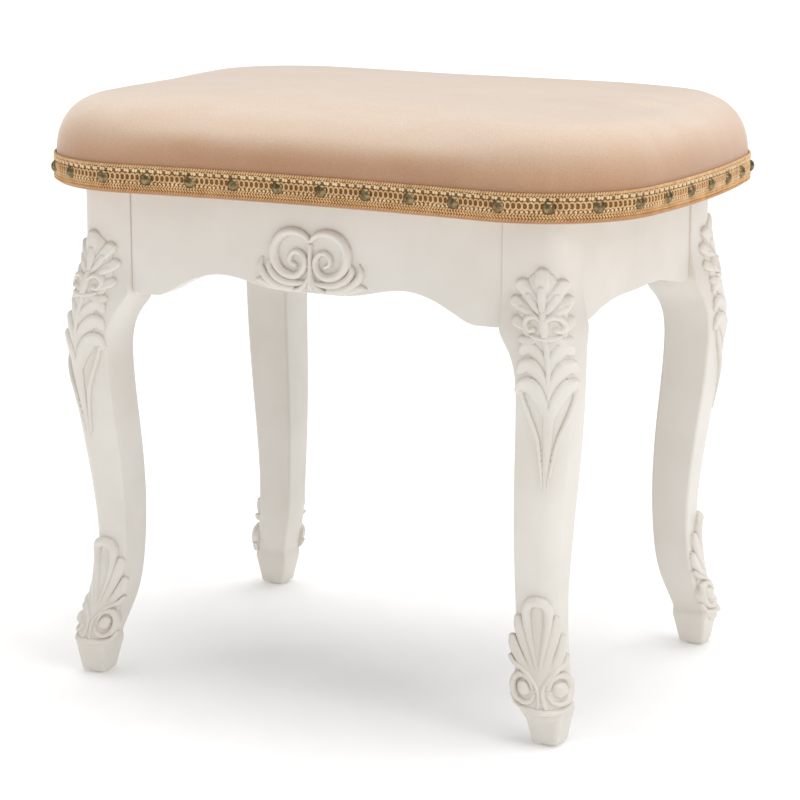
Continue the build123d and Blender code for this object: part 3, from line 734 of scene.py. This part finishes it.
# %% Scroll on the front rail
SCROLL_STROKES = [
    # the scroll itself: down from the cleft, round, and in to its eye
    ([(1.0, 372, 2.0, 3.6), (5.5, 376.4, 2.9, 4.4), (14, 378.6, 3.5, 5.0), (24, 376, 3.9, 5.3),
      (30.5, 368.5, 4.1, 5.4), (32, 359, 4.1, 5.4), (28, 350, 3.9, 5.2), (20.5, 345, 3.6, 5.0),
      (12, 344.6, 3.3, 4.8), (6.2, 349.4, 3.0, 4.6), (4.6, 356, 2.7, 4.4), (7.4, 361.6, 2.5, 4.2),
      (12.8, 363.2, 2.4, 4.0), (17.0, 359.8, 2.2, 3.9), (17.2, 354.8, 2.1, 3.8),
      (13.4, 352.6, 2.2, 4.0)],),
    # stem, with a fan at its foot
    ([(0, 368, 2.0, 3.2), (0, 356, 2.2, 3.8), (0, 345, 2.4, 3.8), (0, 337, 3.6, 3.4)],),
    ([(0.8, 345, 1.4, 3.6), (4.0, 338.5, 2.1, 4.2), (9.5, 333.8, 2.3, 3.9), (15, 332.6, 1.6, 3.0)],),
    # fronds, each thick in the middle and drawn out to a point
    ([(33.6, 357, 0.9, 1.6), (36.2, 351, 2.8, 3.6), (31.5, 343.6, 3.5, 4.6), (22, 339, 3.4, 4.6),
      (12, 338.4, 2.7, 4.2), (4.5, 339.5, 1.8, 3.6)],),
    ([(42.4, 356.5, 0.9, 1.6), (43.6, 349, 2.9, 3.7), (38, 341, 3.6, 4.5), (28, 335.8, 3.4, 4.4),
      (16, 334.2, 2.5, 4.0)],),
    ([(48.0, 338.2, 1.2, 1.6), (43, 338.4, 2.9, 3.2), (36, 335.8, 2.9, 3.4), (29, 333.8, 2.0, 2.8)],),
]


def make_front_scroll():
    cell = FINE * 0.8
    z, x = np.meshgrid(np.arange(331.5, 384, cell), np.arange(-50, 50 + cell, cell), indexing="ij")
    height = relief(x, z, SCROLL_STROKES)
    top = np.stack([x, -RAIL_FACE_Y - np.maximum(height, 0), z], -1)
    bottom = np.stack([x, np.full(x.shape, -RAIL_FACE_Y + BURIED), z], -1)
    points, faces = relief_shell(height, top, bottom)
    piece = make_piece("carved_scroll_front", points, faces, LACQUER, 75.0)
    face_outwards(piece)
    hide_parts("apron_scroll_front")
    print("front scroll:", len(faces), "faces")


make_front_scroll()

# %% [markdown]
# The seat's outline is eight arcs that run into each other: bowed ends, long sides hollowed a
# little, and large round corners. It is sampled once, evenly, with the direction that faces out at
# each point, so that any line round the seat is that outline moved in or out.

# %% Seat outline
SEAT_X, END_RADIUS, SEAT_CORNER, SIDE_RADIUS, CORNER_CY = 264.0, 700.0, 94.0, 1500.0, 82.0
END_CX = SEAT_X - END_RADIUS
END_ANGLE = asin(CORNER_CY / (END_RADIUS - SEAT_CORNER))
CORNER_CX = END_CX + (END_RADIUS - SEAT_CORNER) * cos(END_ANGLE)
SIDE_ANGLE = asin(CORNER_CX / (SEAT_CORNER + SIDE_RADIUS))
SIDE_CY = CORNER_CY + (SEAT_CORNER + SIDE_RADIUS) * cos(SIDE_ANGLE)


def quarter_outline(count=900):
    """Points and outward directions from the middle of the right end to the middle of the back."""
    end, side = degrees(END_ANGLE), degrees(SIDE_ANGLE)
    parts = [((END_CX, 0), END_RADIUS, 0, end, 1), ((CORNER_CX, CORNER_CY), SEAT_CORNER, end, 90 + side, 1),
             ((0, SIDE_CY), SIDE_RADIUS, 270 + side, 270, -1)]
    points, outs = [], []
    for (cx, cy), radius, start, stop, sense in parts:
        turn = np.radians(np.linspace(start, stop, count))
        ring = np.stack([np.cos(turn), np.sin(turn)], 1)
        points.append(ring * radius + (cx, cy))
        outs.append(ring * sense)
    return np.concatenate(points), np.concatenate(outs)


def whole_outline():
    p, n = quarter_outline()
    points = np.concatenate([p, (p * (-1, 1))[::-1], p * (-1, -1), (p * (1, -1))[::-1]])
    outs = np.concatenate([n, (n * (-1, 1))[::-1], n * (-1, -1), (n * (1, -1))[::-1]])
    keep = np.hypot(*(np.roll(points, -1, 0) - points).T) > 1e-4
    return points[keep], outs[keep]


OUTLINE, OUTWARDS = whole_outline()


def round_the_seat(count, grow, phase=0.0):
    """count evenly spaced points on the outline moved out by grow, their directions and length."""
    line = OUTLINE + OUTWARDS * grow
    closed = np.vstack([line, line[:1]])
    length = np.concatenate([[0], np.cumsum(np.hypot(*np.diff(closed, axis=0).T))])
    at = (np.arange(count) + phase) % count / count * length[-1]
    outs = np.vstack([OUTWARDS, OUTWARDS[:1]])
    points = np.stack([np.interp(at, length, closed[:, i]) for i in (0, 1)], 1)
    facing = np.stack([np.interp(at, length, outs[:, i]) for i in (0, 1)], 1)
    return points, facing / np.hypot(*facing.T)[:, None], length[-1]


print("seat outline:", round(float(round_the_seat(8, 0)[2])), "mm round")

# %% [markdown]
# The seat is foam on a board, with velvet pulled over it and stapled underneath. The sides stand
# nearly upright above the braid, turn over in a generous round, and rise to a low crown. The
# cushion is one closed form that wraps the board and turns in under it as a hem. Its top is a
# patch of squares bent to the outline, so that no ring of slivers forms in the middle. Then
# Blender's Cloth lets the top swell as foam does, held fast along the braid.

# %% Seat cushion
PATCH = 60        # squares across the top
BOARD_TOP = 420.0
COVER = 1.2
HEM = 12.0
SIDE_PROFILE = [(HEM, 400.8), (7.0, 400.8), (2.0, 400.8), (0.4, 401.4), (0.0, 403.0), (0.0, 411.0),
                (0.0, 418.0), (0.0, 424.0), (0.1, 430.0), (0.9, 436.0), (2.4, 442.0), (4.8, 448.0),
                (8.2, 453.6), (12.6, 458.8), (18.0, 463.2), (24.5, 466.8), (32.0, 469.6)]
SEAT_CREST = 476.0          # before the foam swells, which lifts it another 2 to 3 mm
CROWN = SEAT_CREST - SIDE_PROFILE[-1][1]
SEAT_DEEP = CORNER_CY + SEAT_CORNER


def square_to_disc(size):
    """A grid of squares pressed into a disc: radius and angle of each of its points."""
    u, v = np.meshgrid(np.linspace(-1, 1, size + 1), np.linspace(-1, 1, size + 1), indexing="ij")
    x, y = u * np.sqrt(1 - v * v / 2), v * np.sqrt(1 - u * u / 2)
    return np.hypot(x, y), np.arctan2(y, x)


def rim_order(size):
    """Grid index of each point round the patch's rim, in order."""
    side = size + 1
    walk = [(size, j) for j in range(side)] + [(i, size) for i in range(size - 1, -1, -1)]
    walk += [(0, j) for j in range(size - 1, -1, -1)] + [(i, 0) for i in range(1, size)]
    return [i * side + j for i, j in walk]


def make_cushion():
    radius, angle = square_to_disc(PATCH)
    rim = rim_order(PATCH)
    polar = np.unwrap(np.arctan2(OUTLINE[:, 1] / SEAT_DEEP, OUTLINE[:, 0] / SEAT_X))
    order = np.argsort(np.mod(polar, 2 * pi))
    base = np.mod(polar, 2 * pi)[order]

    def along(table, want):
        want = np.mod(want, 2 * pi)
        return np.stack([np.interp(want, base, table[order][:, i], period=2 * pi) for i in (0, 1)], -1)

    rim_angle = angle.ravel()[rim]
    edge, facing = along(OUTLINE, rim_angle), along(OUTWARDS, rim_angle)
    facing /= np.hypot(*facing.T)[:, None]
    rings = [np.column_stack([edge - facing * inset, np.full(len(rim), z)]) for inset, z in SIDE_PROFILE]
    last = SIDE_PROFILE[-1][0]
    all_edge = along(OUTLINE, angle.ravel())
    all_facing = along(OUTWARDS, angle.ravel())
    all_facing /= np.hypot(*all_facing.T)[:, None]
    r = radius.ravel()[:, None]
    flat = (all_edge - all_facing * last) * r
    top = np.column_stack([flat, SIDE_PROFILE[-1][1] + CROWN * (1 - r[:, 0] ** 2.3)])
    count = len(rim)
    points = np.concatenate(rings[:-1] + [top])
    faces = quads(len(rings) - 1, count, closed=True)
    base_top = (len(rings) - 1) * count
    joint = base_top - count
    faces += [(joint + i, joint + (i + 1) % count, base_top + rim[(i + 1) % count], base_top + rim[i])
              for i in range(count)]
    side = PATCH + 1
    faces += quads(side, side, first=base_top)
    # The pocket that the board fills: up from the hem's edge, and across under the foam.
    pocket = []
    for inset, z in ((HEM, 402.0), (COVER, 402.0), (COVER, BOARD_TOP)):
        pocket.append(np.column_stack([edge - facing * inset, np.full(count, z)]))
    start = len(points)
    points = np.concatenate([points] + pocket)
    faces += [(i, start + i, start + (i + 1) % count, (i + 1) % count) for i in range(count)]
    faces += quads(3, count, closed=True, first=start)
    faces.append(tuple(range(start + 2 * count, start + 3 * count)))
    cushion = make_piece("velvet_seat", points, faces, VELVET, 60.0)
    face_outwards(cushion)
    return cushion


def swell(cushion):
    """Let the foam push the velvet up with Cloth, then ease the movement off towards a cap."""
    still = np.array([v.co for v in cushion.data.vertices])
    held = cushion.vertex_groups.new(name="held_by_braid_and_board")
    fixed = [i for i, co in enumerate(still) if co[2] < HELD_BELOW * MM]
    held.add(fixed, 1.0, "ADD")
    cloth = cushion.modifiers.new("swell", "CLOTH")
    cloth.settings.quality = 6
    cloth.settings.mass = 0.3
    cloth.settings.tension_stiffness = 25
    cloth.settings.compression_stiffness = 25
    cloth.settings.shear_stiffness = 15
    cloth.settings.bending_stiffness = 2.0
    cloth.settings.use_pressure = True
    cloth.settings.uniform_pressure_force = 0.6
    cloth.settings.vertex_group_mass = held.name
    cloth.settings.effector_weights.gravity = 0.0
    cloth.collision_settings.use_collision = False
    for frame_number in range(1, CLOTH_FRAMES + 1):
        bpy.context.scene.frame_set(frame_number)
    graph = bpy.context.evaluated_depsgraph_get()
    moved = np.array([v.co for v in cushion.evaluated_get(graph).data.vertices]) - still
    bpy.context.scene.frame_set(1)
    cushion.modifiers.remove(cloth)
    distance = np.linalg.norm(moved, axis=1)
    limit = SWELL_CAP * MM
    capped = moved * (limit * np.tanh(distance / limit) / np.maximum(distance, 1e-9))[:, None]
    cushion.data.vertices.foreach_set("co", (still + capped).ravel())
    cushion.data.update()
    print("cushion: velvet swelled up to", round(float(distance.max()) / MM, 2), "mm before the cap")


SWELL_CAP = 3.0             # the most that the velvet may move, in mm
HELD_BELOW = 432.0          # the braid and board hold the velvet still up to here
CLOTH_FRAMES = 20           # how long the swell is followed
velvet_seat = make_cushion()
swell(velvet_seat)
smoother = velvet_seat.modifiers.new("fine", "SUBSURF")
smoother.levels = smoother.render_levels = 1
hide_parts("seat_cover", "seat_foam")
print("cushion:", len(velvet_seat.data.vertices), "points, crest at", SEAT_CREST, "mm before it swells")

# %% [markdown]
# The braid is about 21 mm tall. From the top it has an edge of slanted stitches, a row of paired
# upright stitches with small gaps, a row of lapped rings with a stitch in the heart of each, a
# row of small stitches, and three rows that slant to and fro like a flat plait. A single bumpy
# ribbon would look flat at its edge, so each stitch and ring is a form of its own, and the rows
# repeat evenly round the seat.

# %% Braid rows
BRAID_LOW, BRAID_TALL, TAPE_THICK = 403.0, 21.0, 1.2
TAPE_UP, TAPE_DOWN = 0.4, 0.8           # the tape stops this far inside the braid's two edges
ROUND_MM = float(round_the_seat(8, 1.2)[2])


def place_round(template, faces, count, z, out, phase=0.0):
    """Copies of a small form round the seat. The form's axes are along, out and up."""
    at, facing, _ = round_the_seat(count, out, phase)
    tangent = np.stack([-facing[:, 1], facing[:, 0]], 1)
    form = np.asarray(template, float)
    flat = (at[:, None] + tangent[:, None] * form[None, :, :1] + facing[:, None] * form[None, :, 1:2])
    up = np.broadcast_to(form[None, :, 2:3] + z, flat[..., :1].shape)
    points = np.concatenate([flat, up], -1).reshape(-1, 3)
    every = [tuple(i + k * len(form) for i in face) for k in range(count) for face in faces]
    return points, every


def bead(long, thick, tall, slant=0.0, around=8, rows=5):
    """A closed rice-grain form, for one stitch; slant leans it along the row."""
    points = [(-slant * tall, 0, -tall)]
    for lat in np.linspace(-pi / 2, pi / 2, rows + 2)[1:-1]:
        points += [(long * cos(lat) * cos(a) + slant * tall * sin(lat), thick * cos(lat) * sin(a),
                    tall * sin(lat)) for a in np.linspace(0, 2 * pi, around, endpoint=False)]
    points.append((slant * tall, 0, tall))
    end = len(points) - 1
    faces = [(0, 1 + (i + 1) % around, 1 + i) for i in range(around)]
    faces += quads(rows, around, closed=True, first=1)
    faces += [(end - around + i, end - around + (i + 1) % around, end) for i in range(around)]
    return points, faces


def ring(radius_long, radius_tall, yarn, lean=0.5, around=18, sides=6):
    """A closed yarn loop that leans outwards on one side, so that it laps its neighbour."""
    points = []
    for a in np.linspace(0, 2 * pi, around, endpoint=False):
        for b in np.linspace(0, 2 * pi, sides, endpoint=False):
            reach = yarn * cos(b)
            points.append(((radius_long + reach) * cos(a), yarn * sin(b) + lean * cos(a),
                           (radius_tall + reach) * sin(a)))
    faces = []
    for i in range(around):
        for j in range(sides):
            k, m = (i + 1) % around, (j + 1) % sides
            faces.append((i * sides + j, i * sides + m, k * sides + m, k * sides + j))
    return points, faces


def make_row(name, form, pitch, z, out, material, phase):
    template, template_faces = form
    count = round(ROUND_MM / pitch)
    points, faces = place_round(template, template_faces, count, z, out, phase)
    piece = make_piece(name, points, faces, material, 80.0)
    face_outwards(piece)
    print(name + ":", count, "repeats")


def make_tape():
    count = 720
    inner, facing, _ = round_the_seat(count, 0.05)
    rings = []
    tape_top = BRAID_TALL - TAPE_DOWN
    for grow, z in ((0, TAPE_UP), (TAPE_THICK, TAPE_UP), (TAPE_THICK, tape_top), (0, tape_top)):
        rings.append(np.column_stack([inner + facing * grow, np.full(count, BRAID_LOW + z)]))
    points = np.concatenate(rings)
    faces = quads(4, count, closed=True)
    faces += [(3 * count + i, 3 * count + (i + 1) % count, (i + 1) % count, i) for i in range(count)]
    tape = make_piece("braid_tape", points, faces, TAPE, 50.0)
    face_outwards(tape)
    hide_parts("gimp_braid")


make_tape()
HOLE_PITCH = 7.2            # from one gap in the stitches to the next
ROWS = [                    # name, form, pitch, height above the braid's foot, reach out, yarn, phase
    ("top_edge", bead(0.95, 0.95, 1.3, 0.5), 2.2, 19.9, 1.4, AMBER_YARN, 0.0),
    ("upper_stitches", bead(1.35, 0.95, 1.6), HOLE_PITCH, 17.0, 1.4, CREAM_YARN, 0.0),
    ("upper_stitches_b", bead(1.35, 0.95, 1.6), HOLE_PITCH, 16.8, 1.5, CREAM_YARN, 0.33),
    ("hole_bars", bead(1.3, 0.5, 0.6), HOLE_PITCH, 18.2, 1.4, CREAM_YARN, 0.67),
    ("rings", ring(2.35, 2.85, 0.72, 0.5), 4.3, 11.6, 1.3, AMBER_YARN, 0.0),
    ("ring_hearts", bead(0.7, 0.5, 1.3), 4.3, 11.6, 1.25, CREAM_YARN, 0.5),
    ("lower_stitches", bead(1.2, 0.9, 1.1), HOLE_PITCH / 2, 7.3, 1.35, CREAM_YARN, 0.0),
    ("lower_loops", bead(1.0, 0.95, 1.2, 0.7), 2.4, 5.4, 1.4, AMBER_YARN, 0.5),
    ("band_middle", bead(1.0, 1.05, 1.25, -0.7), 2.5, 3.4, 1.5, AMBER_YARN, 0.0),
    ("bottom_edge", bead(1.05, 1.0, 1.2, 0.7), 2.4, 1.3, 1.4, GOLD_YARN, 0.5),
]
for row, form, pitch, height, out, yarn, phase in ROWS:
    make_row("braid_" + row, form, pitch, BRAID_LOW + height, out, yarn, phase)


# %% [markdown]
# The rest of the stool is hidden or already the right shape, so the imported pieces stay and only
# get their real finish: the nails, corner blocks, screws, board and glides.

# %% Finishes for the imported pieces
FINISHES = {
    "braid_nails": ANTIQUE_BRASS, "seat_board": PLYWOOD, "apron_dowels": BEECH,
    "leg_hanger_bolts": ZINC, "leg_bolt_washers": ZINC, "leg_bolt_nuts": ZINC,
    "corner_block_screws": ZINC, "seat_screws": ZINC, "dust_cover_staples": ZINC,
}
for corner in CORNERS:
    FINISHES["corner_block_" + corner] = BEECH
    FINISHES["foot_glide_" + corner] = NYLON
for name, material in FINISHES.items():
    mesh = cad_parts[name].data
    mesh.materials.clear()
    mesh.materials.append(material)
print("finished", len(FINISHES), "packed pieces")

# %% [markdown]
# The dust cover is cut from black cloth, pulled flat and stapled round its edge. Cloth held only
# at its edge hangs a little in the middle, so it sags 2 mm there.

# %% Dust cover
DUST_Z, DUST_THICK, SAG = 401.4, 0.6, 2.0
dust_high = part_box("dust_cover")[1]
DUST_X, DUST_Y = dust_high.x / MM, dust_high.y / MM
BRACE_THICK, DUST_GAP = 22.0, 2.5
DUST_CUT = INNER_X + INNER_Y + CHAMFER - (BRACE_THICK + DUST_GAP) * sqrt(2)


def make_dust_cover():
    across, deep = 64, 48
    u, v = np.meshgrid(np.linspace(-1, 1, across + 1), np.linspace(-1, 1, deep + 1), indexing="ij")
    x, y = u * DUST_X, v * DUST_Y
    over = np.maximum((np.abs(x) + np.abs(y)) / DUST_CUT, 1.0)
    x, y = x / over, y / over
    drop = SAG * (1 - u ** 2) * (1 - v ** 2)
    low = np.stack([x, y, DUST_Z - drop], -1).reshape(-1, 3)
    high = low + (0, 0, DUST_THICK)
    size = len(low)
    rows, columns = across + 1, deep + 1
    faces = quads(rows, columns)
    faces += [tuple(i + size for i in face) for face in quads(rows, columns)]
    rim = [c for c in range(columns)] + [r * columns + columns - 1 for r in range(1, rows)]
    rim += [(rows - 1) * columns + c for c in range(columns - 2, -1, -1)]
    rim += [r * columns for r in range(rows - 2, 0, -1)]
    faces += [(a, b, b + size, a + size) for a, b in zip(rim, rim[1:] + rim[:1])]
    cover = make_piece("dust_cloth", np.concatenate([low, high]), faces, DUST_CLOTH)
    face_outwards(cover)
    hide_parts("dust_cover")


make_dust_cover()

# %% [markdown]
# The studio is a white floor that runs out past the view and glows faintly, as if lit from below,
# so that shadows on it stay pale. A soft box on the right leaves the front in gentle shade, a
# small one on the left fills that shade a little, and a broad diffuser overhead makes the soft
# shadow under the stool.

# %% Studio
def make_floor():
    half, cells = 20.0, 24
    line = np.linspace(-half, half, cells + 1)
    x, y = np.meshgrid(line, line, indexing="ij")
    mesh = bpy.data.meshes.new("studio_floor")
    points = np.stack([x, y, np.zeros(x.shape)], -1).reshape(-1, 3)
    mesh.from_pydata(points.tolist(), [], quads(cells + 1, cells + 1))
    floor = bpy.data.objects.new("studio_floor", mesh)
    bpy.context.scene.collection.objects.link(floor)
    material, tree, bsdf = new_material(
        "Matt_white_studio_paper", Roughness=0.9, Specular_IOR_Level=0.1,
        Emission_Color=linear("#FFFFFF"), Emission_Strength=0.17)
    tone = blend_colours(tree, noise(tree, 1 / 40, 3.0), [(0.3, "#F6F6F6"), (0.7, "#FAFAFA")])
    fill(tree, bsdf, Base_Color=tone)
    mesh.materials.append(material)


def soft_box(name, place, size, watts, aim=(0.0, 0.0, 0.3)):
    light = bpy.data.lights.new(name, "AREA")
    light.shape = "DISK"
    light.size = size
    light.energy = watts
    lamp = bpy.data.objects.new(name, light)
    bpy.context.scene.collection.objects.link(lamp)
    lamp.location = place
    lamp.rotation_euler = (Vector(aim) - Vector(place)).to_track_quat("-Z", "Y").to_euler()


make_floor()
soft_box("key_soft_box", (2.7, -0.8, 1.9), 1.3, 13.5)
soft_box("fill_soft_box", (-1.9, -1.8, 1.7), 0.7, 2.5)
sky = bpy.data.lights.new("ceiling_diffuser", "SUN")
sky.angle = radians(55)
sky.energy = 1.85
ceiling = bpy.data.objects.new("ceiling_diffuser", sky)
bpy.context.scene.collection.objects.link(ceiling)
ceiling.rotation_euler = (radians(-10), radians(4), 0)
world = bpy.data.worlds.new("studio_air")
world.use_nodes = True
world.node_tree.nodes["Background"].inputs["Color"].default_value = (1.0, 1.0, 1.0, 1.0)
world.node_tree.nodes["Background"].inputs["Strength"].default_value = 0.5
bpy.context.scene.world = world
bpy.context.scene.view_settings.view_transform = "Standard"
print("studio: floor, two soft boxes and ceiling diffuser")

# %% [markdown]
# The camera stands a little above the seat, to the right of the front, far enough back that the
# legs stay nearly upright in the picture. A long lens keeps them straight.

# %% Camera
AZIMUTH, DISTANCE, HEIGHT = 27.18, 2.403, 0.7420
PITCH, YAW, LENS_MM, SENSOR_MM = 12.306, 0.038, 135.07, 36.0
turn = radians(AZIMUTH)
facing = radians(AZIMUTH + YAW)
down = radians(PITCH)
camera_data = bpy.data.cameras.new("studio_camera")
camera_data.lens = LENS_MM
camera_data.sensor_width = SENSOR_MM
camera = bpy.data.objects.new("studio_camera", camera_data)
bpy.context.scene.collection.objects.link(camera)
camera.location = (sin(turn) * DISTANCE, -cos(turn) * DISTANCE, HEIGHT)
look = Vector((-sin(facing) * cos(down), cos(facing) * cos(down), -sin(down)))
camera.rotation_euler = look.to_track_quat("-Z", "Y").to_euler()
bpy.context.scene.camera = camera
print("camera at", [round(v, 3) for v in camera.location])
